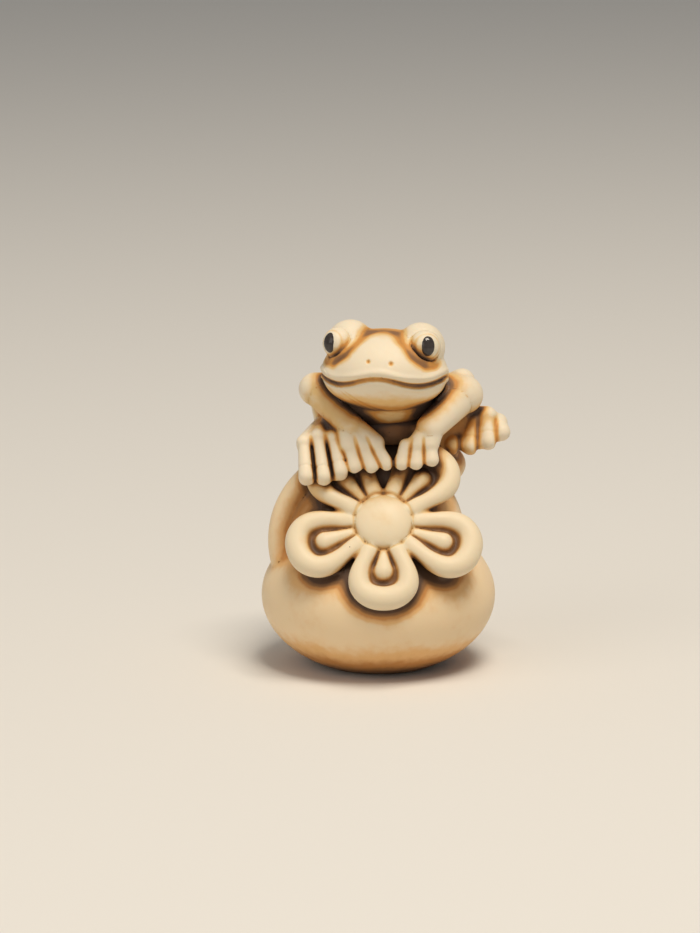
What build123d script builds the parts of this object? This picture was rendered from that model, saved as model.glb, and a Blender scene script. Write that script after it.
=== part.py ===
from build123d import *
import os
from math import cos, radians, sin, sqrt

# A one-inch frog that sits on three stacked stones, with a flower laid on their front.
# The frog looks along -Y. Left and right are the frog's own: its left side is at +X.
# The origin is the middle of the flat foot under the lower stone, and +Z is up.

# Driving dimensions, in millimetres and degrees

# Lower stone: a wide bun, ground flat underneath
lower_width = 16.8
lower_depth = 15.6
lower_height = 11.4
foot_cut = 0.6

# Upper stone: a mound that sits in the bun and carries the flower on a flat facet
upper_width = 13.4
upper_depth = 13.0
upper_height = 12.4
upper_shift = (-0.5, 1.2)
upper_sink = 1.6
facet_cut = 0.7

# Seat stone: the flat pebble that the frog sits on
seat_width = 11.4
seat_depth = 10.4
seat_height = 4.8
seat_shift = (0.6, 2.0)
seat_sink = 1.2
seat_flat = 0.35

# Side roll: a round rib that hugs the upper stone on the frog's right
roll_bend = 6.25
roll_radius = 0.85
roll_shift = (-0.3, -2.4, 0.1)
roll_start = 128
roll_end = 205

# Flower: its plane, its middle on the facet, and its petals
flower_tilt = 36
flower_side = 0.8
flower_below_seat = 5.122
petal_bed = 0.6
petal_spread = 2.65
petal_root_angle = 62
rim_tip_radius = 0.85
rim_root_radius = 0.25
web_thickness = 0.6
petal_angle = {"front": 270, "left": 342, "upper_left": 50, "upper_right": 130, "right": 198}
petal_droop = {"front": 4, "left": 6, "upper_left": 0, "upper_right": 0, "right": 6}
petal_reach = {"front": 5.65, "left": 6.4, "upper_left": 6.2, "upper_right": 6.2, "right": 6.3}
tongue_start = 2.1
tongue_back = 1.95
tongue_root_radius = 0.2
tongue_tip_radius = 0.7
boss_radius = 1.85
boss_wall = 0.25
boss_rise = 0.6
stem_radius = 0.6
stem_length = 0.8
fit_clearance = 0.05

# Torso and throat
frog_spot = (0.2, 0.0)
torso_width = 7.4
torso_length = 8.8
torso_height = 5.4
torso_pitch = 20
torso_place = (-0.1, 0.6, 1.7)
chest_size = (5.0, 3.8, 3.0)
chest_place = (0.1, -2.0, 0.6)
peg_radius = 1.0
peg_length = 3.2
throat_size = (7.4, 6.0, 3.8)
throat_place = (-0.3, -1.8, 2.7)

# Head, measured in its own plane, whose flat mouth line parts the skull from the jaw
head_place = (-0.37, -3.5, 5.5)
head_yaw = 8
head_pitch = 12
skull_size = (9.1, 8.8, 7.0)
jaw_size = (8.7, 8.4, 4.8)
skull_drop = 0.9
mouth_drop = 1.0

# Eyes: a brow mound, a ball set in it, and a dark oval set in the ball
brow_place = {"right": (-2.4, -0.6, 1.35), "left": (2.55, -0.6, 1.25)}
brow_radius = 1.75
gaze_angle = {"right": -33, "left": 20}
eye_forward = 1.35
eye_radius = 1.12
pupil_width = 0.88
pupil_height = 1.4
pupil_depth = 0.35
pupil_proud = 0.03
pupil_clearance = 0.02

# Front legs, from the frog's spot on the seat stone
shoulder = {"right": (-2.6, -1.2, 3.2), "left": (2.6, -1.2, 3.2)}
elbow = {"right": (-5.3, -1.8, 3.4), "left": (5.25, -1.8, 3.0)}
shoulder_radius = {"right": 1.25, "left": 1.5}
elbow_radius = {"right": 1.2, "left": 1.4}
forearm_radius = {"right": 1.08, "left": 1.25}
wrist_radius = {"right": 0.95, "left": 1.0}

# Front feet, laid on the flower: places across and up the flower's plane
wrist = {"right": (-2.3, 6.5), "left": (3.3, 6.4)}
front_knuckle = {
    "right": ((-2.4, 5.2), (-1.5, 5.2), (-0.6, 5.3)),
    "left": ((1.55, 5.2), (2.4, 5.25), (3.25, 5.3)),
}
front_tip = {
    "right": ((-2.04, 3.65), (-0.85, 3.65), (0.22, 3.85)),
    "left": ((1.29, 3.87), (2.31, 3.9), (3.43, 4.15)),
}
front_heel_radius = 0.8
front_knuckle_radius = 0.72
front_toe_radius = 0.45
front_pad_radius = 0.5

# Hind legs, from the frog's spot on the seat stone
hip = {"right": (-2.6, 2.8, 1.2), "left": (2.6, 2.8, 1.2)}
knee = {"right": (-4.7, 0.6, 2.6), "left": (5.2, 0.6, 3.5)}
ankle = {"right": (-4.4, -0.2, 0.8), "left": (4.7, 0.8, 0.9)}
hip_radius = 1.6
knee_radius = {"right": 1.2, "left": 0.95}
shank_radius = {"right": 1.1, "left": 0.9}
ankle_radius = 1.0
heel_radius = 0.55
palm_gather = 0.25

# Right hind foot, laid on the flower, and left hind foot, spread beside the seat stone
right_hind_knuckle = ((-5.6, 5.5), (-4.6, 5.95), (-3.55, 5.8))
right_hind_tip = ((-5.43, 2.93), (-4.18, 2.9), (-3.02, 3.3))
right_hind_knuckle_radius = 0.5
right_hind_toe_radius = 0.37
right_hind_pad_radius = 0.5
left_hind_knuckle = ((4.45, -1.3, -0.1), (6.05, -1.3, 0.9), (6.95, -1.3, 1.35), (7.72, -1.0, 0.8))
left_hind_tip = ((4.38, -2.3, -0.63), (5.74, -2.3, -0.63), (7.02, -2.3, -0.26), (7.95, -1.9, 0.3))
left_hind_knuckle_radius = 0.72
left_hind_toe_radius = 0.62
left_hind_pad_radius = 0.66
left_hind_palm = (6.2, -0.9, 0.55)
left_hind_palm_radius = 0.95

pieces = {}


def finish(name, builder):
    """Label a finished piece, keep it for its neighbours and write its file."""
    builder.part.label = name
    pieces[name] = builder.part
    export_step(builder.part, f"parts/{name}.step")


def ellipsoid(plane, size):
    """A sphere stretched to a size along the axes of a plane."""
    with BuildPart() as form:
        Sphere(0.5)
        scale(by=size)
    return form.part.moved(plane.location)


def limb(start, end, start_radius, end_radius):
    """A round limb: two balls and the cone that is tangent to both."""
    reach = end - start
    across = Plane(origin=start, z_dir=reach).x_dir
    lean = (start_radius - end_radius) / reach.length
    rise = sqrt(1 - lean**2)
    half_start = sqrt((1 - lean) / 2)
    half_end = sqrt((1 + lean) / 2)
    near = (-start_radius, 0)
    near_side = (-start_radius * half_start, start_radius * half_end)
    near_tangent = (start_radius * lean, start_radius * rise)
    far_tangent = (reach.length + end_radius * lean, end_radius * rise)
    far_side = (reach.length + end_radius * half_end, end_radius * half_start)
    far = (reach.length + end_radius, 0)
    with BuildPart() as form:
        with BuildSketch(Plane(origin=start, x_dir=reach, z_dir=across)):
            with BuildLine():
                ThreePointArc(near, near_side, near_tangent)
                Line(near_tangent, far_tangent)
                ThreePointArc(far_tangent, far_side, far)
                Line(far, near)
            make_face()
        revolve(axis=Axis(start, reach))
    return form.part


def foot_forms(heel, heel_radius, knuckles, tips, knuckle_radius, toe_radius, pad_radius):
    """A foot's palm, spread from the heel to the knuckles, and its toes, each with a round pad."""
    middle = (knuckles[0] + knuckles[-1]) / 2
    forms = []
    for knuckle, tip in zip(knuckles, tips):
        base = heel + (knuckle - middle) * palm_gather
        forms.append(limb(base, knuckle, heel_radius, knuckle_radius))
        forms.append(limb(knuckle, tip, toe_radius, pad_radius))
    return forms


def join(forms, neighbours):
    """One piece from several forms, cut to fit against the pieces beside it."""
    with BuildPart() as piece:
        for form in forms:
            add(form)
        for name in neighbours:
            add(pieces[name], mode=Mode.SUBTRACT)
    return piece


os.makedirs("parts", exist_ok=True)

# Lower stone
lower_middle = Vector(0, 0, lower_height / 2 - foot_cut)
lower_top = lower_height - foot_cut
lower_form = ellipsoid(Plane(lower_middle), (lower_width, lower_depth, lower_height))
with BuildPart() as lower_stone:
    add(lower_form)
    split(bisect_by=Plane.XY, keep=Keep.TOP)
finish("lower_stone", lower_stone)

# Where the stones stack, where the frog sits on them, and where the flower lies on them
upper_middle = Vector(*upper_shift, lower_top - upper_sink)
upper_top = upper_middle.Z + upper_height / 2
flower_normal = Vector(0, -cos(radians(flower_tilt)), sin(radians(flower_tilt)))
flower_up = Vector(0, sin(radians(flower_tilt)), cos(radians(flower_tilt)))
upper_front = sqrt((upper_depth / 2 * flower_normal.Y) ** 2 + (upper_height / 2 * flower_normal.Z) ** 2)
facet_middle = upper_middle + flower_normal * (upper_front - facet_cut)
seat_middle = Vector(*seat_shift, upper_top - seat_sink)
seat_top = seat_middle.Z + seat_height / 2
bed_middle = facet_middle + flower_normal * petal_bed + Vector(flower_side, 0, 0)
flower_drop = (bed_middle.Z - seat_top + flower_below_seat) / flower_up.Z
flower_middle = bed_middle - flower_up * flower_drop
flower = Plane(flower_middle, x_dir=(1, 0, 0), z_dir=flower_normal)
facet = flower.offset(-petal_bed)
frog = Plane(Vector(seat_middle.X + frog_spot[0], seat_middle.Y + frog_spot[1], seat_top))
seat_face = frog.offset(-seat_flat)
peg_plane = seat_face.move(Location((0, torso_place[1], 0)))

# Upper stone, with the flower's facet and the holes for the flower's stem and the frog's peg
upper_form = ellipsoid(Plane(upper_middle), (upper_width, upper_depth, upper_height))
with BuildPart() as upper_stone:
    add(upper_form)
    split(bisect_by=facet, keep=Keep.BOTTOM)
    add(pieces["lower_stone"], mode=Mode.SUBTRACT)
    with BuildSketch(facet):
        Circle(stem_radius + fit_clearance)
    extrude(amount=-(stem_length + fit_clearance), mode=Mode.SUBTRACT)
    with BuildSketch(peg_plane):
        Circle(peg_radius + fit_clearance)
    extrude(amount=-(peg_length + fit_clearance), mode=Mode.SUBTRACT)
finish("upper_stone", upper_stone)

# Seat stone, dressed flat where the frog sits, with the hole for the frog's peg
seat_form = ellipsoid(Plane(seat_middle), (seat_width, seat_depth, seat_height))
with BuildPart() as seat_stone:
    add(seat_form)
    split(bisect_by=facet, keep=Keep.BOTTOM)
    split(bisect_by=seat_face, keep=Keep.BOTTOM)
    add(pieces["upper_stone"], mode=Mode.SUBTRACT)
    with BuildSketch(peg_plane):
        Circle(peg_radius + fit_clearance)
    extrude(amount=-(peg_length + fit_clearance), mode=Mode.SUBTRACT)
finish("seat_stone", seat_stone)

# Flower boss: a low dome on a stem that plugs into the upper stone
with BuildPart() as flower_boss:
    with BuildSketch(facet):
        Circle(stem_radius)
    extrude(amount=-stem_length)
    with BuildSketch(Plane(flower.origin, x_dir=flower.y_dir, z_dir=flower.x_dir)):
        with BuildLine():
            Line((0, -petal_bed), (boss_radius, -petal_bed))
            Line((boss_radius, -petal_bed), (boss_radius, boss_wall))
            TangentArc((0, boss_wall + boss_rise), (boss_radius, boss_wall), tangent=(1, 0))
            Line((0, boss_wall + boss_rise), (0, -petal_bed))
        make_face()
    revolve(axis=Axis(flower.origin, flower.z_dir))
    add(pieces["lower_stone"], mode=Mode.SUBTRACT)
finish("flower_boss", flower_boss)


def petal_plane(place):
    """The plane of one petal: X out along the petal, Z off the flower's face."""
    turn = Axis(flower_middle, flower_normal)
    out = flower.x_dir.rotate(turn, petal_angle[place])
    aside = flower.x_dir.rotate(turn, petal_angle[place] + 90)
    out = out.rotate(Axis(flower_middle, aside), petal_droop[place])
    return Plane(flower_middle, x_dir=out, z_dir=out.cross(aside))


def petal_point(reach, angle):
    """A point of the teardrop that a petal's rim follows: angle 180 is its tip."""
    along = reach * sin(radians(angle / 2)) ** 2
    return along, petal_spread * sin(radians(angle)) * along / reach


with BuildPart() as boss_room:
    with BuildSketch(Plane(facet.origin, x_dir=flower.y_dir, z_dir=flower.z_dir)):
        Circle(boss_radius)
    extrude(amount=2 * petal_bed + boss_rise)

# Petals: a rolled rim that swells towards the tip, closed underneath by a thin web
rim_stations = 11
rim_step = (360 - 2 * petal_root_angle) / (rim_stations - 1)
rim_angles = [petal_root_angle + rim_step * station for station in range(rim_stations)]
stones = ["lower_stone", "upper_stone", "seat_stone"]
laid_petals = []
for place in petal_angle:
    plane = petal_plane(place)
    reach = petal_reach[place]
    rim_line = [petal_point(reach, angle) for angle in rim_angles]
    with BuildPart() as petal:
        for angle in rim_angles:
            here = Vector(*petal_point(reach, angle))
            ahead = Vector(*petal_point(reach, angle + 1)) - here
            tangent = plane.x_dir * ahead.X + plane.y_dir * ahead.Y
            swell = sin(radians(angle / 2)) ** 1.4
            with BuildSketch(Plane(plane.from_local_coords(here), x_dir=plane.z_dir, z_dir=tangent)):
                Circle(rim_root_radius + (rim_tip_radius - rim_root_radius) * swell)
        loft()
        with BuildSketch(plane.offset(-petal_bed)):
            with BuildLine():
                Spline(*rim_line)
                Line(rim_line[-1], rim_line[0])
            make_face()
        extrude(amount=web_thickness)
        add(boss_room.part, mode=Mode.SUBTRACT)
        for name in stones + laid_petals:
            add(pieces[name], mode=Mode.SUBTRACT)
    name = f"{place}_petal"
    finish(name, petal)
    laid_petals.append(name)

# Tongues: a raised teardrop in the middle of each petal
for place in petal_angle:
    plane = petal_plane(place)
    root = plane.from_local_coords(Vector(tongue_start, 0, 0))
    tip = plane.from_local_coords(Vector(petal_reach[place] - tongue_back, 0, 0))
    tongue_form = limb(root, tip, tongue_root_radius, tongue_tip_radius)
    with BuildPart() as tongue:
        add(tongue_form)
        split(bisect_by=plane.offset(web_thickness - petal_bed), keep=Keep.TOP)
        add(boss_room.part, mode=Mode.SUBTRACT)
        for name in [f"{place}_petal"] + stones:
            add(pieces[name], mode=Mode.SUBTRACT)
    finish(f"{place}_tongue", tongue)

# Side roll, cut to fit the stones and the petals that lie over it
roll_middle = upper_middle + Vector(*roll_shift)
roll_way = Vector(cos(radians(roll_start)), 0, sin(radians(roll_start)))
with BuildPart() as side_roll:
    with BuildSketch(Plane(roll_middle, x_dir=roll_way, z_dir=roll_way.cross(Vector(0, 1, 0)))):
        with Locations((roll_bend, 0)):
            Circle(roll_radius)
    revolve(axis=Axis(roll_middle, (0, -1, 0)), revolution_arc=roll_end - roll_start)
    for name in stones + ["right_petal", "upper_right_petal"]:
        add(pieces[name], mode=Mode.SUBTRACT)
finish("side_roll", side_roll)

# Torso: a flattened egg, front end up, with a round chest and the peg that drops into the seat stone
torso_middle = frog.from_local_coords(Vector(*torso_place))
torso_up = Vector(0, sin(radians(torso_pitch)), cos(radians(torso_pitch)))
torso_plane = Plane(torso_middle, x_dir=(1, 0, 0), z_dir=torso_up)
torso_form = ellipsoid(torso_plane, (torso_width, torso_length, torso_height))
chest_middle = frog.from_local_coords(Vector(*chest_place))
chest_form = ellipsoid(Plane(chest_middle), chest_size)
with BuildPart() as torso:
    add(torso_form)
    add(chest_form)
    split(bisect_by=seat_face, keep=Keep.TOP)
    with BuildSketch(peg_plane):
        Circle(peg_radius)
    extrude(amount=-peg_length)
finish("torso", torso)

# Throat
throat_middle = frog.from_local_coords(Vector(*throat_place))
throat_form = ellipsoid(Plane(throat_middle), throat_size)
finish("throat", join([throat_form], ["torso"]))

# Lower jaw and skull, either side of the mouth plane
head_middle = frog.from_local_coords(Vector(*head_place))
head_side = Vector(1, 0, 0).rotate(Axis.Z, -head_yaw)
head_up = Vector(0, 0, 1).rotate(Axis((0, 0, 0), head_side), -head_pitch)
head = Plane(head_middle, x_dir=head_side, z_dir=head_up)
mouth = head.offset(-mouth_drop)
jaw_form = ellipsoid(head.offset(-skull_drop), jaw_size)
skull_form = ellipsoid(head.offset(-skull_drop), skull_size)
sides = ["right", "left"]
brow_middles = {}
eye_middles = {}
gazes = {}
for side in sides:
    brow_middles[side] = head.from_local_coords(Vector(*brow_place[side]))
    gazes[side] = (-head.y_dir).rotate(Axis((0, 0, 0), head.z_dir), gaze_angle[side])
    eye_middles[side] = brow_middles[side] + gazes[side] * eye_forward
with BuildPart() as lower_jaw:
    add(jaw_form)
    split(bisect_by=mouth, keep=Keep.BOTTOM)
    for name in ["torso", "throat"]:
        add(pieces[name], mode=Mode.SUBTRACT)
finish("lower_jaw", lower_jaw)
with BuildPart() as skull:
    add(skull_form)
    split(bisect_by=mouth, keep=Keep.TOP)
    for name in ["torso", "throat"]:
        add(pieces[name], mode=Mode.SUBTRACT)
    with Locations(*eye_middles.values()):
        Sphere(eye_radius + pupil_proud, mode=Mode.SUBTRACT)
finish("skull", skull)

# Eyes: each ball sits in a socket in its brow
for side in sides:
    brow_middle = brow_middles[side]
    gaze = gazes[side]
    eye_middle = eye_middles[side]
    gaze_plane = Plane(eye_middle, x_dir=gaze.cross(head.z_dir), z_dir=gaze)
    pupil_floor = gaze_plane.offset(eye_radius - pupil_depth)
    with BuildPart() as brow:
        with Locations(brow_middle):
            Sphere(brow_radius)
        with Locations(eye_middle):
            Sphere(eye_radius, mode=Mode.SUBTRACT)
        add(pieces["skull"], mode=Mode.SUBTRACT)
    finish(f"{side}_brow", brow)
    with BuildPart() as eyeball:
        with Locations(eye_middle):
            Sphere(eye_radius)
        with BuildSketch(pupil_floor):
            Ellipse(pupil_width / 2 + pupil_clearance, pupil_height / 2 + pupil_clearance)
        extrude(amount=2 * pupil_depth, mode=Mode.SUBTRACT)
    finish(f"{side}_eyeball", eyeball)
    with BuildPart() as pupil:
        with BuildSketch(pupil_floor):
            Ellipse(pupil_width / 2, pupil_height / 2)
        extrude(amount=2 * pupil_depth)
        with Locations(eye_middle):
            Sphere(eye_radius + pupil_proud, mode=Mode.INTERSECT)
    finish(f"{side}_pupil", pupil)

# Front legs and front feet, the feet lying just clear of the petals' rims
trunk = ["torso", "throat", "lower_jaw", "skull"]
foot_lift = rim_tip_radius + fit_clearance
for side in sides:
    shoulder_point = frog.from_local_coords(Vector(*shoulder[side]))
    elbow_point = frog.from_local_coords(Vector(*elbow[side]))
    wrist_point = flower.from_local_coords(Vector(*wrist[side], foot_lift + wrist_radius[side]))
    knuckle_lift = foot_lift + front_knuckle_radius
    tip_lift = foot_lift + front_pad_radius
    knuckles = [flower.from_local_coords(Vector(*spot, knuckle_lift)) for spot in front_knuckle[side]]
    tips = [flower.from_local_coords(Vector(*spot, tip_lift)) for spot in front_tip[side]]
    upper_arm_form = limb(shoulder_point, elbow_point, shoulder_radius[side], elbow_radius[side])
    forearm_form = limb(elbow_point, wrist_point, forearm_radius[side], wrist_radius[side])
    toe_sizes = (front_knuckle_radius, front_toe_radius, front_pad_radius)
    front_foot = foot_forms(wrist_point, front_heel_radius, knuckles, tips, *toe_sizes)
    finish(f"{side}_upper_arm", join([upper_arm_form], trunk))
    finish(f"{side}_forearm", join([forearm_form], trunk + [f"{side}_upper_arm"]))
    finish(f"{side}_front_foot", join(front_foot, stones + trunk + [f"{side}_forearm"]))

# Hind legs
for side in sides:
    hip_point = frog.from_local_coords(Vector(*hip[side]))
    knee_point = frog.from_local_coords(Vector(*knee[side]))
    ankle_point = frog.from_local_coords(Vector(*ankle[side]))
    thigh_form = limb(hip_point, knee_point, hip_radius, knee_radius[side])
    shank_form = limb(knee_point, ankle_point, shank_radius[side], ankle_radius)
    beside = stones + trunk + [f"{side}_upper_arm", f"{side}_forearm"]
    finish(f"{side}_thigh", join([thigh_form], beside))
    finish(f"{side}_shank", join([shank_form], beside + [f"{side}_thigh"]))

# Hind feet: the right one over its petal, the left one spread beside the seat stone
pad_lift = foot_lift + right_hind_pad_radius
hind_knuckles = {
    "right": [flower.from_local_coords(Vector(*spot, pad_lift)) for spot in right_hind_knuckle],
    "left": [frog.from_local_coords(Vector(*spot)) for spot in left_hind_knuckle],
}
hind_tips = {
    "right": [flower.from_local_coords(Vector(*spot, pad_lift)) for spot in right_hind_tip],
    "left": [frog.from_local_coords(Vector(*spot)) for spot in left_hind_tip],
}
hind_toe_sizes = {
    "right": (right_hind_knuckle_radius, right_hind_toe_radius, right_hind_pad_radius),
    "left": (left_hind_knuckle_radius, left_hind_toe_radius, left_hind_pad_radius),
}
for side in sides:
    heel = frog.from_local_coords(Vector(*ankle[side]))
    hind_foot = foot_forms(heel, heel_radius, hind_knuckles[side], hind_tips[side], *hind_toe_sizes[side])
    if side == "left":
        palm = frog.from_local_coords(Vector(*left_hind_palm))
        hind_foot.append(limb(heel, palm, heel_radius, left_hind_palm_radius))
    legs = [f"{side}_thigh", f"{side}_shank", f"{side}_forearm", f"{side}_front_foot"]
    finish(f"{side}_hind_foot", join(hind_foot, stones + trunk + legs))
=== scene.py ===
import math

import bpy
import mathutils
import numpy as np
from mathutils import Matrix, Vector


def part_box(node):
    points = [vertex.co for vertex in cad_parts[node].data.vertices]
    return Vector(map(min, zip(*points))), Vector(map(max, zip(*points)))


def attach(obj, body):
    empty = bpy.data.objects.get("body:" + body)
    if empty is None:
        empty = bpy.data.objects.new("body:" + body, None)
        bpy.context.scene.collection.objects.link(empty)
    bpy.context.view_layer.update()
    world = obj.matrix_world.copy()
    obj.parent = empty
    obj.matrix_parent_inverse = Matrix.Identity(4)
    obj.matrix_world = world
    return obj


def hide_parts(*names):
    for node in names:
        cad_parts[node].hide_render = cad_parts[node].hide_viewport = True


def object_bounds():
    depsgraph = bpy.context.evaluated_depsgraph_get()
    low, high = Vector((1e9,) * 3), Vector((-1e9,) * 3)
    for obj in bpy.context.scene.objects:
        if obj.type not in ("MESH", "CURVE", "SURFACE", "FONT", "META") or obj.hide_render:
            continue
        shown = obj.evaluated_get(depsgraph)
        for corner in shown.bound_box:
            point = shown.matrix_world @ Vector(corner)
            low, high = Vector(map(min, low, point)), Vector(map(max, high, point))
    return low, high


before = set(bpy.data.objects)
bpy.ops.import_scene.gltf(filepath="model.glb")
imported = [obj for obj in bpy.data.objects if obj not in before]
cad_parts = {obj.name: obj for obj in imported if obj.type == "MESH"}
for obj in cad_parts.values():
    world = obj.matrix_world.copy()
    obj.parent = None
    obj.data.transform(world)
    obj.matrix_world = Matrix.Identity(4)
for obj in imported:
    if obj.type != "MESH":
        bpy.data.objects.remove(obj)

import openvdb

cad_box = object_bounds()


# THE STONES: a wide bun, a mound on it, a pebble seat and a round rib at the side. Cast in ivory-look
# polyester resin from a hand-cut master, and glued on each other. A thin stain was wiped on, so the
# seams are dark and the tops are cream. Each piece is cut from one block of clay, sampled every GRAIN mm.
GRAIN = 0.08
REACH = 1.2
MARGIN = 0.5
low = np.floor((np.array(cad_box[0]) * 1000 - MARGIN) / GRAIN).astype(int)
high = np.ceil((np.array(cad_box[1]) * 1000 + MARGIN) / GRAIN).astype(int)
size = high - low + 1


def measure(points, faces, step, reach):
    """Distances in mm to a closed skin, less than 0 inside, and the first grid step of the box they fill."""
    grid = openvdb.FloatGrid.createLevelSetFromPolygons(
        points, **faces, transform=openvdb.createLinearTransform(voxelSize=step),
        exBandWidth=reach / step, inBandWidth=reach / step)
    first, last = grid.evalActiveVoxelBoundingBox()
    field = np.empty(np.array(last) - first + 1, np.float32)
    grid.copyToArray(field, ijk=first)
    return np.array(first), field


def fit(first, field):
    """Trims a field to the block and gives the part of the block that it fills."""
    start = np.maximum(first, low)
    stop = np.minimum(first + field.shape, high + 1)
    kept = tuple(slice(a, b) for a, b in zip(start - first, stop - first))
    return tuple(slice(a, b) for a, b in zip(start - low, stop - low)), field[kept]


def node_skin(name):
    """The points, in mm, and the triangles of a node."""
    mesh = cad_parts[name].data
    mesh.calc_loop_triangles()
    points = np.empty(len(mesh.vertices) * 3, np.float32)
    mesh.vertices.foreach_get("co", points)
    corners = np.empty(len(mesh.loop_triangles) * 3, np.int32)
    mesh.loop_triangles.foreach_get("vertices", corners)
    return points.reshape(-1, 3) * 1000, corners.reshape(-1, 3).astype(np.uint32)


names = sorted(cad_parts)
skins = {name: node_skin(name) for name in names}
rough = {}
for name, (points, faces) in skins.items():
    rough[name] = fit(*measure(points, {"triangles": faces}, GRAIN, REACH))
nearest = np.empty(size, np.float32)
second = np.empty(size, np.float32)
owner = np.empty(size, np.int16)


def share_out():
    """Finds for each point of the block the nearest piece, and how far off the next one is."""
    nearest[:] = REACH
    second[:] = REACH
    owner[:] = -1
    for number, name in enumerate(names):
        where, field = rough[name]
        old = nearest[where]
        closer = field < old
        second[where] = np.where(closer, old, np.minimum(second[where], field))
        nearest[where] = np.minimum(old, field)
        owner[where][closer] = number


share_out()


def round_about(parts):
    """The part of the block that holds some pieces and a margin."""
    boxes = np.array([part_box(name) for name in parts]) * 1000
    start = np.maximum(np.floor((boxes[:, 0].min(0) - REACH) / GRAIN).astype(int) - low, 0)
    stop = np.minimum(np.ceil((boxes[:, 1].max(0) + REACH) / GRAIN).astype(int) - low + 1, size)
    return tuple(slice(a, b) for a, b in zip(start, stop))


def gather(parts, shape=None):
    """Puts the clay of some pieces together."""
    shape = np.full(size, REACH, np.float32) if shape is None else shape
    for name in parts:
        where, field = rough[name]
        shape[where] = np.minimum(shape[where], field)
    return shape


def closed_over(field, first, step, radius, reach):
    """The field of a shape with every hollow closed that a ball of that radius can't enter."""
    grid = openvdb.FloatGrid(float(field.max()))
    grid.transform = openvdb.createLinearTransform(voxelSize=step)
    grid.copyFromArray(np.ascontiguousarray(field), ijk=tuple(int(i) for i in first))
    points, quads = grid.convertToQuads(isovalue=radius)
    first, field = measure(points, {"quads": quads}, step, reach)
    return first, field + radius


def smooth_in(shape, where, radius):
    """Rounds every inside corner with a ball of that radius, as a modelling tool does."""
    first = low + [s.start for s in where]
    filled, field = fit(*closed_over(shape[where], first, GRAIN, radius, REACH))
    shape[where] = REACH
    shape[filled] = np.minimum(field, REACH)


def wear(shape, where, rounds):
    """Softens a shape a little, as mould rubber and polishing do."""
    for _ in range(rounds):
        for axis in range(3):
            turned = np.moveaxis(shape[where], axis, 0)
            turned[1:-1] = turned[1:-1] * 0.5 + (turned[:-2] + turned[2:]) * 0.25


def read(field, points):
    """A field's value and slope at points given in grid steps."""
    base = np.clip(np.floor(points).astype(int), 0, np.array(field.shape) - 2)
    part = np.clip(points - base, 0, 1)
    flat = field.ravel()
    step = np.array([field.shape[1] * field.shape[2], field.shape[2], 1])
    start = base @ step
    value = np.zeros(len(points))
    slope = np.zeros((len(points), 3))
    for i in (0, 1):
        for j in (0, 1):
            for k in (0, 1):
                here = flat[start + i * step[0] + j * step[1] + k * step[2]]
                x = part[:, 0] if i else 1 - part[:, 0]
                y = part[:, 1] if j else 1 - part[:, 1]
                z = part[:, 2] if k else 1 - part[:, 2]
                value += here * x * y * z
                slope[:, 0] += here * (2 * i - 1) * y * z
                slope[:, 1] += here * x * (2 * j - 1) * z
                slope[:, 2] += here * x * y * (2 * k - 1)
    return value, slope


HAIRLINE = 0.001
SPARE_STEPS = 8
SETTLE_ROUNDS = 4
STEP_LIMIT = 0.4
CELL_SLACK = 0.2
EDGE_SHARPNESS = 0.05
CORNERS = [(i, j, k) for i in (0, 1) for j in (0, 1) for k in (0, 1)]


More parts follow.
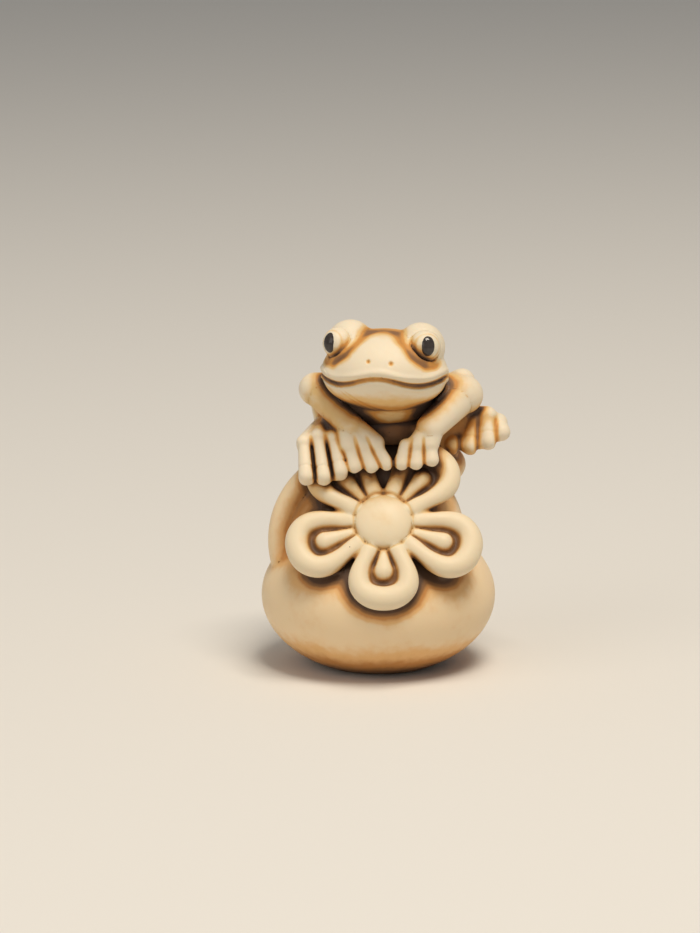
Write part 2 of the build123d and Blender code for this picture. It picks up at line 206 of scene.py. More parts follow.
def skin(shape, name, stride):
    """The closed skin of one piece: its group's shape, cut half way to the pieces beside it."""
    number = names.index(name)
    box = np.array(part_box(name)) * 1000
    first = np.maximum(np.floor(box[0] / GRAIN).astype(int) - low - SPARE_STEPS, 0)
    last = np.minimum(np.ceil(box[1] / GRAIN).astype(int) - low + SPARE_STEPS + 1, size)
    where = tuple(slice(a, b, stride) for a, b in zip(first, last))
    filled, field = rough[name]
    own = np.full(size, REACH, np.float32)
    own[filled] = field
    other = np.where(owner[where] == number, second[where], nearest[where])
    cut = (own[where] - other) / 2 + HAIRLINE
    form = np.ascontiguousarray(shape[where])
    both = np.maximum(form, cut)
    close = 0.5 * GRAIN * stride
    inside = both < 0
    cells = tuple(n - 1 for n in both.shape)
    count = sum(inside[i:cells[0] + i, j:cells[1] + j, k:cells[2] + k].astype(np.int8) for i, j, k in CORNERS)
    cell = np.argwhere((count > 0) & (count < 8))
    tag = np.full(cells, -1, np.int32)
    tag[tuple(cell.T)] = np.arange(len(cell))
    total = np.zeros((len(cell), 3))
    hits = np.zeros(len(cell))
    for axis in range(3):
        ahead = np.eye(3, dtype=int)[axis]
        for corner in CORNERS:
            if corner[axis] == 0:
                a = both[tuple((cell + corner).T)].astype(float)
                b = both[tuple((cell + corner + ahead).T)].astype(float)
                crossing = (a < 0) != (b < 0)
                part = np.where(crossing, a / np.where(crossing, a - b, 1), 0)
                total += crossing[:, None] * (np.array(corner) + part[:, None] * ahead)
                hits += crossing
    place = cell + total / hits[:, None]
    for _ in range(SETTLE_ROUNDS):
        a, slope_a = read(form, place)
        b, slope_b = read(cut, place)
        aa = (slope_a ** 2).sum(1) + 1e-9
        bb = (slope_b ** 2).sum(1) + 1e-9
        ab = (slope_a * slope_b).sum(1)
        sharp = aa * bb - ab ** 2
        edge = (np.abs(a - b) < close) & (sharp > EDGE_SHARPNESS * aa * bb)
        sharp = np.where(edge, sharp, 1)
        pull_a = np.where(edge, (a * bb - b * ab) / sharp, np.where(a >= b, a / aa, 0))
        pull_b = np.where(edge, (b * aa - a * ab) / sharp, np.where(a >= b, 0, b / bb))
        move = pull_a[:, None] * slope_a + pull_b[:, None] * slope_b
        length = np.linalg.norm(move, axis=1)[:, None]
        place -= move * np.minimum(1, STEP_LIMIT / np.maximum(length, 1e-9))
        place = np.clip(place, cell - CELL_SLACK, cell + (1 + CELL_SLACK))
    quads = []
    for axis in range(3):
        u, v = np.eye(3, dtype=int)[[(axis + 1) % 3, (axis + 2) % 3]]
        before = np.take(inside, range(inside.shape[axis] - 1), axis)
        after = np.take(inside, range(1, inside.shape[axis]), axis)
        edge = np.argwhere(before != after)
        ring = [tag[tuple((edge - a * u - b * v).T)] for a, b in ((1, 1), (0, 1), (0, 0), (1, 0))]
        ring = np.stack(ring, 1)
        outward = before[tuple(edge.T)]
        quads.append(np.where(outward[:, None], ring, ring[:, ::-1]))
    a, slope_a = read(form, place)
    b, slope_b = read(cut, place)
    normal = np.where((a > b - close)[:, None], slope_a, slope_b)
    normal /= np.linalg.norm(normal, axis=1)[:, None] + 1e-9
    return place * stride + first, np.concatenate(quads), normal


# The wiped stain stays where the wiping cloth can't reach. An edge, a corner and a wad of the cloth press
# in as balls of these radii, and a point's stain grows with its depth below each of them. The wad's broad
# darkening of wide hollows, under the jaw, beneath the petals and at the chest, is painted shade as well as
# stain.
# Each row: radius, sampling step, depth of the full share (all in mm) and that share.
CLOTH = ((0.4, 0.1, 0.25, 0.45), (1.0, 0.16, 0.7, 0.45), (4.5, 0.25, 2.3, 0.85))
CLOTH_MARGIN = 0.8
starts = np.cumsum([0] + [len(points) for points, faces in skins.values()])
all_points = np.concatenate([points for points, faces in skins.values()])
all_faces = np.concatenate([faces + start for (points, faces), start in zip(skins.values(), starts)])
cloths = []
for radius, step, full_depth, weight in CLOTH:
    reach = radius + CLOTH_MARGIN
    first, field = measure(all_points, {"triangles": all_faces.astype(np.uint32)}, step, reach)
    cloths.append((*closed_over(field, first, step, radius, reach), step, full_depth, weight))

# How deep an undercut may stay: more at the chest, which lies CHEST_HALF mm on both sides of CHEST_X.
UNDERCUT = 0.6
UNDERCUT_REACH = 0.9
CHEST_UNDERCUT = 1.5
CHEST_X = 0.8
CHEST_HALF = 2.4


def fill_undercuts(shape, where):
    """Fills the undercuts beside the chest that a mould can't follow, to a depth below the cloth's corner."""
    first, field, step = cloths[1][:3]
    near = np.argwhere((shape[where] > 0) & (shape[where] < UNDERCUT_REACH)) + [s.start for s in where]
    places = (near + low) * GRAIN
    beside = np.abs(places[:, 0] - CHEST_X)
    depth = UNDERCUT + CHEST_UNDERCUT * np.clip(CHEST_HALF + 1 - beside, 0, 1)
    floor = read(field, places / step - first)[0] + depth
    shape[tuple(near.T)] = np.minimum(shape[tuple(near.T)], floor)


RUB_DEPTH = 0.9
RUB_SHARE = 0.25
RUB_LIMIT = 0.6
STAIN_LIMIT = 1.1
CUT_STAIN = 2.0
CUT_DEPTH = 0.25


def stain_and_shade_share(shape, spot, normal):
    """Each point's share of stain and of painted shade in broad hollows, less where an edge stands out and
    the cloth rubbed it clean.
    """
    share = np.zeros(len(spot))
    for first, field, step, full_depth, weight in cloths:
        depth = -read(field, (spot + low) * GRAIN / step - first)[0]
        share += weight * np.clip(depth / full_depth, 0, STAIN_LIMIT)
    behind = read(shape, spot - normal * RUB_DEPTH / GRAIN)[0]
    return share - RUB_SHARE * np.clip(1 + behind / RUB_DEPTH, 0, RUB_LIMIT)


def cast(shape, name, finish, stride=1, extra=None, uncut=None):
    """Makes one piece from its group's shape, with any extra stain and painted shade, and the stain in what
    was cut.
    """
    spot, quads, normal = skin(shape, name, stride)
    places = (spot + low) * GRAIN
    mesh = bpy.data.meshes.new(name + "_cast")
    mesh.vertices.add(len(spot))
    mesh.vertices.foreach_set("co", (places / 1000).ravel().astype(np.float32))
    mesh.loops.add(quads.size)
    mesh.loops.foreach_set("vertex_index", quads.ravel().astype(np.int32))
    mesh.polygons.add(len(quads))
    mesh.polygons.foreach_set("loop_start", np.arange(0, quads.size, 4, dtype=np.int32))
    mesh.update(calc_edges=True)
    mesh.validate()
    share = stain_and_shade_share(shape, spot, normal)
    if extra is not None:
        share = share + extra(places)
    if uncut is not None:
        share = share + CUT_STAIN * np.clip(-read(uncut, spot)[0], 0, CUT_DEPTH)
    # The stain attribute also carries painted shade: in broad hollows, beside the petals, round the foot of
    # the stones and under the chin.
    mesh.attributes.new("stain_and_shade", "FLOAT", "POINT").data.foreach_set("value", share.astype(np.float32))
    mesh.normals_split_custom_set_from_vertices(normal.tolist())
    mesh.materials.append(finish)
    piece = bpy.data.objects.new(name + "_cast", mesh)
    bpy.context.scene.collection.objects.link(piece)
    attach(piece, "root")
    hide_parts(name)


def linear(code):
    """An sRGB hex colour as linear red, green, blue and 1."""
    channels = [int(code[i:i + 2], 16) / 255 for i in (1, 3, 5)]
    return [c / 12.92 if c <= 0.04045 else ((c + 0.055) / 1.055) ** 2.4 for c in channels] + [1.0]


def add(tree, kind, inputs, **settings):
    """Adds one node, with its settings, and links or sets its inputs."""
    made = tree.nodes.new(kind)
    for key, value in settings.items():
        setattr(made, key, value)
    for key, value in inputs.items():
        if isinstance(value, bpy.types.NodeSocket):
            tree.links.new(value, made.inputs[key])
        else:
            made.inputs[key].default_value = value
    return made


# Cast polyester resin with a wiped stain: a satin cream that lets a little light in and is clouded by its
# filler. The stain runs from a pale amber film to dark brown at the bottom of a recess, and the same colours
# show the painted shade that the pieces carry together with their stain.
CLOUD_MM = 3.2
CLOUD_STAIN = 0.26
MOTTLE_MM = 0.7
MOTTLE_STAIN = 0.16
SPECK_CELL_MM = 0.9
SPECK_MM = 0.05
SPECK_RARITY = 0.8


def stained_resin(name, cream, film, amber, brown, dark):
    """The resin's finish, with its colours from a clean top to the bottom of a recess, which also show
    painted shade.
    """
    material = bpy.data.materials.new(name)
    material.use_nodes = True
    tree = material.node_tree
    tree.nodes.clear()
    place = add(tree, "ShaderNodeTexCoord", {}).outputs["Object"]
    cloud = add(tree, "ShaderNodeTexNoise", {"Vector": place, "Scale": 1000 / CLOUD_MM, "Detail": 4.0})
    mottle = add(tree, "ShaderNodeTexNoise", {"Vector": place, "Scale": 1000 / MOTTLE_MM, "Detail": 4.0})
    # The attribute read here holds the stain together with painted shade.
    stain_and_shade = add(tree, "ShaderNodeAttribute", {}, attribute_name="stain_and_shade").outputs["Fac"]
    drift = add(tree, "ShaderNodeMath", {0: cloud.outputs["Fac"], 1: CLOUD_STAIN, 2: -CLOUD_STAIN / 2},
                operation="MULTIPLY_ADD")
    grain = add(tree, "ShaderNodeMath", {0: mottle.outputs["Fac"], 1: MOTTLE_STAIN, 2: -MOTTLE_STAIN / 2},
                operation="MULTIPLY_ADD")
    uneven = add(tree, "ShaderNodeMath", {0: drift.outputs[0], 1: grain.outputs[0]}, operation="ADD")
    darkening = add(tree, "ShaderNodeMath", {0: stain_and_shade, 1: uneven.outputs[0]}, operation="ADD")
    tone = add(tree, "ShaderNodeValToRGB", {"Fac": darkening.outputs[0]})
    ramp = tone.color_ramp
    ramp.interpolation = "EASE"
    ramp.elements[0].position = 0.0
    ramp.elements[0].color = linear(cream)
    ramp.elements[1].position = 1.0
    ramp.elements[1].color = linear(dark)
    for at, colour in ((0.2, film), (0.42, amber), (0.68, brown)):
        ramp.elements.new(at).color = linear(colour)
    cell = add(tree, "ShaderNodeTexVoronoi", {"Vector": place, "Scale": 1000 / SPECK_CELL_MM})
    edge = SPECK_MM / SPECK_CELL_MM
    dot = add(tree, "ShaderNodeMapRange", {"Value": cell.outputs["Distance"], "From Min": edge * 0.6,
                                           "From Max": edge, "To Min": 1.0, "To Max": 0.0})
    chosen = add(tree, "ShaderNodeMath", {0: cell.outputs["Color"], 1: SPECK_RARITY},
                 operation="GREATER_THAN")
    speck = add(tree, "ShaderNodeMath", {0: dot.outputs["Result"], 1: chosen.outputs[0]},
                operation="MULTIPLY")
    body = add(tree, "ShaderNodeMix", {"Factor": speck.outputs[0], 6: tone.outputs["Color"], 7: linear(dark)},
               data_type="RGBA")
    polish = add(tree, "ShaderNodeMapRange", {"Value": mottle.outputs["Fac"], "From Min": 0.3,
                                              "From Max": 0.7, "To Min": 0.44, "To Max": 0.58})
    bump = add(tree, "ShaderNodeBump", {"Height": mottle.outputs["Fac"], "Strength": 0.3,
                                        "Distance": 0.00004})
    shader = add(tree, "ShaderNodeBsdfPrincipled", {
        "Base Color": body.outputs["Result"], "Roughness": polish.outputs["Result"],
        "Normal": bump.outputs["Normal"], "Specular IOR Level": 0.3, "Subsurface Weight": 0.12,
        "Subsurface Radius": (1.0, 0.6, 0.35), "Subsurface Scale": 0.0005})
    add(tree, "ShaderNodeOutputMaterial", {"Surface": shader.outputs["BSDF"]})
    return material


stone_finish = stained_resin("stained_and_shaded_stone_resin", "#F0D6AE", "#E6B97E", "#C58B4E", "#86603C", "#5A4332")
# Painted shade with some stain: the stones darken towards the floor, up to FOOT_RISE mm above it.
FOOT_SHADE_AND_STAIN = 0.8
FOOT_RISE = 3.6
# Painted shadow with some stain on the stones within REACH mm of the petals.
PETAL_SHADOW_AND_STAIN = 0.6
STONE_FILLET = 0.3
petals_over = gather([name for name in names if name.endswith("_petal")])


def stone_stain_and_shade(places):
    """Darker towards the foot, part stain and part painted shade, and stain with painted shadow beside the
    petals.
    """
    foot = FOOT_SHADE_AND_STAIN * np.clip(1 - places[:, 2] / FOOT_RISE, 0, 1) ** 1.5
    gap = read(petals_over, places / GRAIN - low)[0]
    return foot + PETAL_SHADOW_AND_STAIN * np.clip(1 - gap / REACH, 0, 1)


heap_pieces = ["lower_stone", "upper_stone", "seat_stone", "side_roll"]
heap_room = round_about(heap_pieces)
heap = gather(heap_pieces)
smooth_in(heap, heap_room, STONE_FILLET)
fill_undercuts(heap, heap_room)
wear(heap, heap_room, 2)
for stone in heap_pieces:
    cast(heap, stone, stone_finish, stride=2, extra=stone_stain_and_shade)


# THE FLOWER: a domed boss with five looped petals, each a rolled rim with a tongue in its middle. Cast
# in the same resin, on a stem set in the mound, with the stain left thick between rim and tongue.
flower_finish = stained_resin("stained_and_shaded_flower_resin", "#E9D8B8", "#E0C08C", "#C69254", "#8A623C", "#5C4434")
petals = ["front", "left", "upper_left", "upper_right", "right"]
flower_pieces = ["flower_boss"] + [p + "_petal" for p in petals] + [p + "_tongue" for p in petals]
FLOWER_MIDDLE = np.array((0.3, -4.93, 11.478))
FLOWER_LEAN = math.radians(36)
FLOWER_SIDE = np.array((1, 0, 0))
FLOWER_UP = np.array((0, math.sin(FLOWER_LEAN), math.cos(FLOWER_LEAN)))
FLOWER_OUT = np.cross(FLOWER_SIDE, FLOWER_UP)
FLOWER_PLANE = (FLOWER_MIDDLE, FLOWER_SIDE, FLOWER_UP, FLOWER_OUT)
PETAL_ANGLE = {"front": 270, "left": 342, "upper_left": 50, "upper_right": 130, "right": 198}
PETAL_REACH = {"front": 5.65, "left": 6.4, "upper_left": 6.2, "upper_right": 6.2, "right": 6.3}
PETAL_FILLET = 0.1
FLOWER_FILLET = 0.07
TONGUE_BACK = 2.1
TONGUE_HALF = 0.8
TONGUE_ROOT = 2.3
TONGUE_ROOT_HALF = 0.35


def room_round(spot, reach):
    """The part of the block within a reach of a place."""
    start = np.maximum(np.floor((np.array(spot) - reach) / GRAIN).astype(int) - low, 0)
    stop = np.minimum(np.ceil((np.array(spot) + reach) / GRAIN).astype(int) - low + 1, size)
    return tuple(slice(a, b) for a, b in zip(start, stop))


def along(where, middle, *ways):
    """How far each point of a part of the block lies from a place, in mm along some directions."""
    x, y, z = [(np.arange(s.start, s.stop) + base) * GRAIN - m for s, base, m in zip(where, low, middle)]
    return [(x * w[0])[:, None, None] + (y * w[1])[None, :, None] + (z * w[2])[None, None, :] for w in ways]


def bell(gap, width):
    """A smooth swelling that is 1 in the middle and dies away over a width."""
    return np.exp(-(gap / width) ** 2)


BOSS_RADIUS = 2.05
BOSS_RISE = 0.9
BOSS_FILM = 0.13
RING_DEPTH = 0.07
RING_WIDTH = 0.12
RING_OFFSET = 0.03


def boss_dome(where):
    """The boss's dome with its round edge over the ends of the petals, in a part of the block."""
    u, v, lift = along(where, *FLOWER_PLANE)
    off = np.hypot(u, v)
    reach = np.hypot(off / BOSS_RADIUS, lift / BOSS_RISE)
    steep = np.hypot(off / BOSS_RADIUS ** 2, lift / BOSS_RISE ** 2) + 1e-6
    return np.maximum(reach * (reach - 1) / steep, -lift).astype(np.float32)


for part in flower_pieces:
    where, field = rough[part]
    dome = boss_dome(where)
    rough[part] = (where, np.minimum(field, dome) if part == "flower_boss" else np.maximum(field, -dome))
share_out()
flower = gather(["flower_boss"])
for petal in petals:
    loop_pieces = [petal + "_petal", petal + "_tongue"]
    loop = gather(loop_pieces)
    smooth_in(loop, round_about(loop_pieces), PETAL_FILLET)
    np.minimum(flower, loop, out=flower)
smooth_in(flower, round_about(flower_pieces), FLOWER_FILLET)
wear(flower, round_about(flower_pieces), 1)


def groove(shape, plane, start, end, depth, width, floor):
    """Cuts a groove square to a plane, deepening from one place on it to another, above a height over it."""
    run = np.array(end) - start
    middle = (np.array(start) + end) / 2
    room = room_round(plane[0] + plane[1] * middle[0] + plane[2] * middle[1], 3.2)
    u, v, lift = along(room, *plane)
    share = np.clip(((u - start[0]) * run[0] + (v - start[1]) * run[1]) / (run @ run), 0, 1)
    off = np.hypot(u - start[0] - share * run[0], v - start[1] - share * run[1])
    fade = np.clip((lift - floor) / 0.3, 0, 1)
    shape[room] += depth * np.clip(share * 2.5, 0, 1) * bell(off, width) * fade


uncut_flower = flower.copy()
boss_room = room_round(FLOWER_MIDDLE, 2.6)
u, v, lift = along(boss_room, *FLOWER_PLANE)
ring_gap = np.hypot(u, v) - BOSS_RADIUS - RING_OFFSET
flower[boss_room] += RING_DEPTH * bell(ring_gap, RING_WIDTH) * np.clip(lift / 0.2 + 1, 0, 1)
for petal in petals:
    angle = math.radians(PETAL_ANGLE[petal])
    out = np.array((math.cos(angle), math.sin(angle)))
    for aside in (np.array((-out[1], out[0])), np.array((out[1], -out[0]))):
        tip = out * (PETAL_REACH[petal] - TONGUE_BACK) + aside * TONGUE_HALF
        root = out * TONGUE_ROOT + aside * TONGUE_ROOT_HALF
        groove(flower, FLOWER_PLANE, tip, root, depth=0.14, width=0.1, floor=-0.4)


def boss_film(places):
    """The amber film that the cloth left on the boss."""
    return np.full(len(places), BOSS_FILM)


for part in flower_pieces:
    film = boss_film if part == "flower_boss" else None
    cast(flower, part, flower_finish, extra=film, uncut=uncut_flower)


# THE FROG'S BODY: trunk, arms, legs and feet, cast in the same resin. A peg under the trunk is glued in
# the stones, and the limbs are run into the trunk with soft fillets. Each hind toe ends in a round pad.
frog_finish = stained_resin("stained_and_shaded_frog_resin", "#EADCC2", "#E3BF84", "#CE9149", "#8A6442", "#5A463A")
sides = ("left", "right")
limbs = ["torso"] + [s + "_" + p for s in sides for p in ("upper_arm", "forearm", "thigh", "shank")]
feet = [s + "_" + p for s in sides for p in ("front_foot", "hind_foot")]
LIMB_FILLET = 0.45
FRONT_FOOT_FILLET = 0.3
PACKED_FILLET = 0.35
SLIM_FILLET = 0.18
SLIM_SWELL = 0.04
WEB_FILLET = 0.9
WEB_BACK_AND_DOWN = (4, -3)
frog_room = round_about(limbs + feet)
frog = gather(limbs)
smooth_in(frog, frog_room, LIMB_FILLET)
gather(["left_front_foot", "right_front_foot"], frog)
smooth_in(frog, frog_room, FRONT_FOOT_FILLET)
packed_foot = gather(["left_hind_foot"])
smooth_in(packed_foot, round_about(["left_hind_foot"]), PACKED_FILLET)
slim_foot = gather(["right_hind_foot"]) - SLIM_SWELL
smooth_in(slim_foot, round_about(["right_hind_foot"]), SLIM_FILLET)
slim_web = slim_foot.copy()
smooth_in(slim_web, round_about(["right_hind_foot"]), WEB_FILLET)
for form in (packed_foot, slim_foot, np.roll(slim_web, WEB_BACK_AND_DOWN, (1, 2))):
    np.minimum(frog, form, out=frog)
fill_undercuts(frog, frog_room)
wear(frog, frog_room, 1)

# Each toe's tip and knuckle, in mm: across and up the flower for the feet that lie on it, and from the
# frog's middle for the left hind foot, whose toes are packed together and parted by shallow grooves.
FROG_MIDDLE = np.array((0.8, 2.0, 16.6))
FROG_PLANE = (FROG_MIDDLE, np.array((1, 0, 0)), np.array((0, 0, 1)), np.array((0, -1, 0)))
PAD_LIFT = 1.4
PAD_RADIUS = 0.75
CREASE_WIDTH = 0.11
right_toes = (((-5.43, 2.93), (-5.6, 5.5)), ((-4.18, 2.9), (-4.6, 5.95)), ((-3.02, 3.3), (-3.55, 5.8)))
front_toes = (
    (((-2.04, 3.65), (-2.4, 5.2)), ((-0.85, 3.65), (-1.5, 5.2)), ((0.22, 3.85), (-0.6, 5.3))),
    (((1.29, 3.87), (1.55, 5.2)), ((2.31, 3.9), (2.4, 5.25)), ((3.43, 4.15), (3.25, 5.3))))
left_toes = (((4.38, -2.3, -0.63), (4.45, -1.3, -0.1)), ((5.74, -2.3, -0.63), (6.05, -1.3, 0.9)),
             ((7.02, -2.3, -0.26), (6.95, -1.3, 1.35)), ((7.95, -1.9, 0.3), (7.72, -1.0, 0.8)))
packed_grooves = (((4.95, 0.4), (4.95, -1.0)), ((6.3, 1.9), (6.2, -1.0)), ((7.55, 1.6), (7.6, -0.5)))
between_front_feet = ((0.62, 5.2), (0.76, 3.2))


def on_flower(spot):
    """A place across and up the flower's plane, at the height of the toe pads."""
    return FLOWER_MIDDLE + FLOWER_SIDE * spot[0] + FLOWER_UP * spot[1] + FLOWER_OUT * PAD_LIFT


def crease_toe(tip, knuckle, back, depth):
    """Cuts the crease behind a toe's pad."""
    way = (knuckle - tip) / np.linalg.norm(knuckle - tip)
    room = room_round(tip, 1.6)
    x, y, z, run = along(room, tip, (1, 0, 0), (0, 1, 0), (0, 0, 1), way)
    off_axis = np.sqrt(np.maximum(x ** 2 + y ** 2 + z ** 2 - run ** 2, 0))
    frog[room] += depth * bell(run - back, CREASE_WIDTH) * bell(off_axis / PAD_RADIUS, 1) ** 2


uncut_frog = frog.copy()
groove(frog, FLOWER_PLANE, *between_front_feet, depth=0.2, width=0.14, floor=1)
for start, end in packed_grooves:
    groove(frog, FROG_PLANE, start, end, depth=0.11, width=0.17, floor=0.8)
for foot in front_toes:
    for toe, next_toe in zip(foot, foot[1:]):
        tip, knuckle = (np.array(toe) + next_toe) / 2
        start = knuckle * 1.3 - tip * 0.3
        end = tip * 1.2 - knuckle * 0.2
        groove(frog, FLOWER_PLANE, start, end, depth=0.12, width=0.12, floor=1)
for toe, next_toe in zip(right_toes, right_toes[1:]):
    tip, knuckle = (np.array(toe) + next_toe) / 2
    start = knuckle * 1.1 - tip * 0.1
    end = tip * 1.2 - knuckle * 0.2
    groove(frog, FLOWER_PLANE, start, end, depth=0.3, width=0.13, floor=0.7)
for tip, knuckle in right_toes:
    crease_toe(on_flower(tip), on_flower(knuckle), back=0.64, depth=0.09)
for tip, knuckle in left_toes:
    crease_toe(FROG_MIDDLE + tip, FROG_MIDDLE + knuckle, back=0.56, depth=0.07)
for part in limbs + feet:
    cast(frog, part, frog_finish, uncut=uncut_frog)


# THE HEAD: throat, jaw, skull, brows and eyeballs, cast in the same resin and run together, with each
# eyeball let into a socket in its brow. The mouth is cut in afterwards, a wavy line under a full upper lip.
head_pieces = ["throat", "lower_jaw", "skull"] + [s + "_brow" for s in sides]
eye_pieces = [s + "_eyeball" for s in sides]
pupil_pieces = [s + "_pupil" for s in sides]
HEAD_MIDDLE = (0.43, -1.5, 22.1)
HEAD_YAW = math.radians(8)
HEAD_PITCH = math.radians(12)
HEAD_FILLET = 0.45
# Painted shade with some stain under the chin, below CHIN_UP mm along the head's up axis.
CHIN_SHADE_AND_FILM = 0.2
CHIN_UP = -1.75
head_side = (math.cos(HEAD_YAW), -math.sin(HEAD_YAW), 0)
head_up = (math.sin(HEAD_YAW) * math.sin(HEAD_PITCH),
           math.cos(HEAD_YAW) * math.sin(HEAD_PITCH),
           math.cos(HEAD_PITCH))
head_back = np.cross(head_up, head_side)
head_room = round_about(head_pieces)
head = gather(head_pieces)
smooth_in(head, head_room, HEAD_FILLET)
gather(eye_pieces + pupil_pieces, head)
wear(head, head_room, 1)
uncut_head = head.copy()
across, deep, up = along(head_room, HEAD_MIDDLE, head_side, head_back, head_up)

# The mouth dips on both sides of the middle and turns up at its ends. It is the line where the skull and
# the jaw part, softer in the middle, with a full lip over it and a thin one under it.
MOUTH_UP = -1.05
MOUTH_DIP = 0.42
MOUTH_WAVE = 5.2
MOUTH_TURN = 0.45
MOUTH_HALF = 4.45
dips = np.sin(math.pi * across / MOUTH_WAVE) ** 2
mouth = MOUTH_UP - MOUTH_DIP * dips + MOUTH_TURN * (across / MOUTH_HALF) ** 8
lip = np.clip(up - mouth, -REACH, REACH).astype(np.float32)
both_jaws = gather(["skull", "lower_jaw"])[head_room]
rough["skull"] = (head_room, np.maximum(both_jaws, -lip))
rough["lower_jaw"] = (head_room, np.maximum(both_jaws, lip))
share_out()
face = np.clip(0.5 - deep / 2, 0, 1)
outer = np.clip(np.abs(across) / 2.8, 0, 1)
head[head_room] += face * (0.05 + 0.13 * outer) * bell(lip, 0.11)
head[head_room] += face * (0.08 + 0.04 * outer) * bell(lip + 0.17, 0.16)
head[head_room] -= face * 0.1 * bell(lip - 0.34, 0.24)
head[head_room] -= face * 0.04 * bell(lip + 0.42, 0.1)

# Two fine folds under the jaw, the nostrils, the saddle between the eyes, and the valleys that run from it
# down both sides of the snout.
FOLD_UP = -3.36
FOLD_BEND = 0.115
FOLD_WIDTH = 0.06
NOSTRILS = ((-0.65, 0.04), (0.95, -0.07))
NOSTRIL_DEPTH = 0.13
NOSTRIL_WIDTH = 0.13
SADDLE_DEPTH = 0.13
VALLEY_DEPTH = 0.1
VALLEY_WIDTH = 0.5
for fold, depth in ((0, 0.035), (-0.26, 0.025)):
    crease = up - fold - FOLD_UP - FOLD_BEND * (across - 1) ** 2
    head[head_room] += face * depth * bell(crease, FOLD_WIDTH)
for nostril in NOSTRILS:
    pit = np.hypot(across - nostril[0], up - nostril[1])
    head[head_room] += (deep < -2.5) * NOSTRIL_DEPTH * bell(pit, NOSTRIL_WIDTH)
saddle = (across / 1.5) ** 2 + ((deep + 1.3) / 1.3) ** 2 + ((up - 2.45) / 0.7) ** 2
head[head_room] += SADDLE_DEPTH * np.exp(-saddle)
VALLEY = ((0.9, -1.6, 2.4), (1.5, -2.8, 1.5), (2.3, -3.2, 0.5), (3.2, -2.9, 0.05))
for mirror in (-1, 1):
    valley = np.full(lip.shape, 9.0)
    for start, end in zip(VALLEY, VALLEY[1:]):
        start = np.array(start) * (mirror, 1, 1)
        end = np.array(end) * (mirror, 1, 1)
        run = end - start
        gaps = (across - start[0], deep - start[1], up - start[2])
        share = np.clip(sum(g * r for g, r in zip(gaps, run)) / (run @ run), 0, 1)
        valley = np.minimum(valley, np.sqrt(sum((g - share * r) ** 2 for g, r in zip(gaps, run))))
    head[head_room] += VALLEY_DEPTH * bell(valley, VALLEY_WIDTH)

# Each eye has a fine ring cut round its pupil, a raised lid round that and a pouch under it.
FINE_RING = 0.86
LID_RING = 1.3
POUCH_RING = 1.42
for side in sides:
    eye = np.array(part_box(side + "_eyeball")).mean(0) * 1000
    gaze = np.array(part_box(side + "_pupil")).mean(0) * 1000 - eye
    gaze /= np.linalg.norm(gaze)
    room = room_round(eye, 2.2)
    x, y, z, run, above = along(room, eye, (1, 0, 0), (0, 1, 0), (0, 0, 1), gaze, head_up)
    ring = np.sqrt(np.maximum(x ** 2 + y ** 2 + z ** 2 - run ** 2, 0))
    fine_ring = 0.04 * bell(ring - FINE_RING, 0.07) * (run > 0.3)
    lid = 0.05 * bell(ring - LID_RING, 0.14) * bell(run - 0.1, 0.4)
    head[room] += fine_ring - lid
    below = np.clip(-above / 0.9 - 0.2, 0, 1)
    head[room] += 0.11 * bell(ring - POUCH_RING, 0.36) * bell(run - 0.4, 0.8) * below


def chin_shade_and_film(places):
    """Stain and painted shade on the underside of the jaw, growing below CHIN_UP."""
    return CHIN_SHADE_AND_FILM * np.clip(CHIN_UP - (places - HEAD_MIDDLE) @ head_up, 0, 1)


# Every head piece but the throat takes the stain and painted shade under the chin.
for part in head_pieces + eye_pieces:
    film = None if part == "throat" else chin_shade_and_film
    cast(head, part, frog_finish, extra=film, uncut=uncut_head)


# THE PUPILS: two oval slips of dark resin, each let into a pocket in its eyeball and glued. Polished like
# glass and never stained, they give the eye a near black that is a little cloudy, with a sharp highlight.
INLAY_CLOUD_MM = 0.4
pupil_finish = bpy.data.materials.new("polished_dark_inlay")
pupil_finish.use_nodes = True
tree = pupil_finish.node_tree
tree.nodes.clear()
place = add(tree, "ShaderNodeTexCoord", {}).outputs["Object"]
cloud = add(tree, "ShaderNodeTexNoise", {"Vector": place, "Scale": 1000 / INLAY_CLOUD_MM, "Detail": 2.0})
dark = add(tree, "ShaderNodeMix", {
    "Factor": cloud.outputs["Fac"], 6: linear("#1C1716"), 7: linear("#4A423F")}, data_type="RGBA")
shader = add(tree, "ShaderNodeBsdfPrincipled", {
    "Base Color": dark.outputs["Result"], "Roughness": 0.12, "IOR": 1.5})
add(tree, "ShaderNodeOutputMaterial", {"Surface": shader.outputs["BSDF"]})
for part in pupil_pieces:
    cast(head, part, pupil_finish)


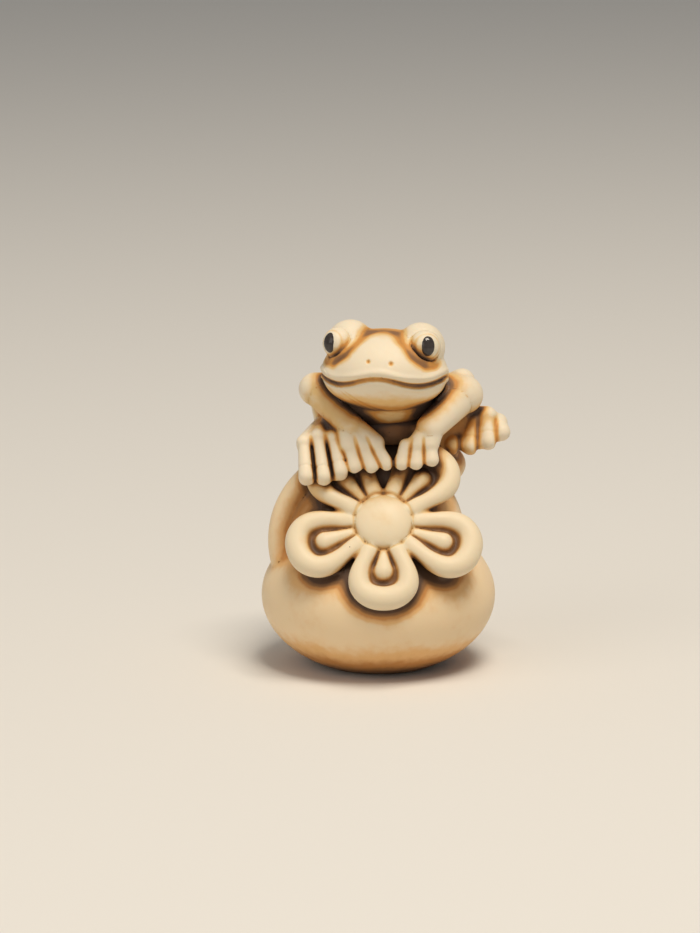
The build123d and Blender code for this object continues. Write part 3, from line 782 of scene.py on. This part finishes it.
# THE STAGE: a sheet of pale matt paper under an even sky, with a large warm key light from above and a weak
# fill from the left. The camera looks a little down on the figurine through a long lens.
def lamp(name, place, aim, wide, power, tint):
    """A square lamp at a place, turned to what it lights."""
    light = bpy.data.lights.new(name, "AREA")
    light.size = wide
    light.energy = power
    light.color = linear(tint)[:3]
    holder = bpy.data.objects.new(name, light)
    holder.location = place
    way = mathutils.Vector(aim) - mathutils.Vector(place)
    holder.rotation_euler = way.to_track_quat("-Z", "Y").to_euler()
    bpy.context.scene.collection.objects.link(holder)


PAPER_HALF = 2
floor_mesh = bpy.data.meshes.new("floor")
paper_corners = [(x * PAPER_HALF, y * PAPER_HALF, 0) for x, y in ((-1, -1), (1, -1), (1, 1), (-1, 1))]
floor_mesh.from_pydata(paper_corners, [], [(0, 1, 2, 3)])
floor = bpy.data.objects.new("floor", floor_mesh)
bpy.context.scene.collection.objects.link(floor)
paper = bpy.data.materials.new("pale_paper")
paper.use_nodes = True
paper_shader = paper.node_tree.nodes["Principled BSDF"]
paper_shader.inputs["Base Color"].default_value = linear("#E3E0DA")
paper_shader.inputs["Roughness"].default_value = 0.9
floor_mesh.materials.append(paper)

world = bpy.data.worlds.new("studio")
world.use_nodes = True
sky = world.node_tree.nodes["Background"]
sky.inputs["Color"].default_value = linear("#FFFFFF")
sky.inputs["Strength"].default_value = 0.26
bpy.context.scene.world = world
bpy.context.scene.view_settings.view_transform = "Standard"
middle = (0, 0, 0.012)
lamp("key", (0.08, -0.14, 0.46), middle, 0.2, 1.9, "#FFF4E4")
lamp("fill", (-0.3, -0.25, 0.22), middle, 0.3, 0.3, "#FFF9F0")

ELEVATION = math.radians(12)
DISTANCE = 0.25
VIEW_WIDTH = 0.05
SENSOR = 36
aim = np.array([-0.00204, 0, 0.01441])
back = np.array([0, -math.cos(ELEVATION), math.sin(ELEVATION)])
camera = bpy.data.cameras.new("camera")
camera.sensor_fit = "HORIZONTAL"
camera.sensor_width = SENSOR
camera.lens = SENSOR * DISTANCE / VIEW_WIDTH
camera.clip_start = 0.01
holder = bpy.data.objects.new("camera", camera)
holder.location = aim + back * DISTANCE
holder.rotation_euler = (math.pi / 2 - ELEVATION, 0, 0)
bpy.context.scene.collection.objects.link(holder)
bpy.context.scene.camera = holder
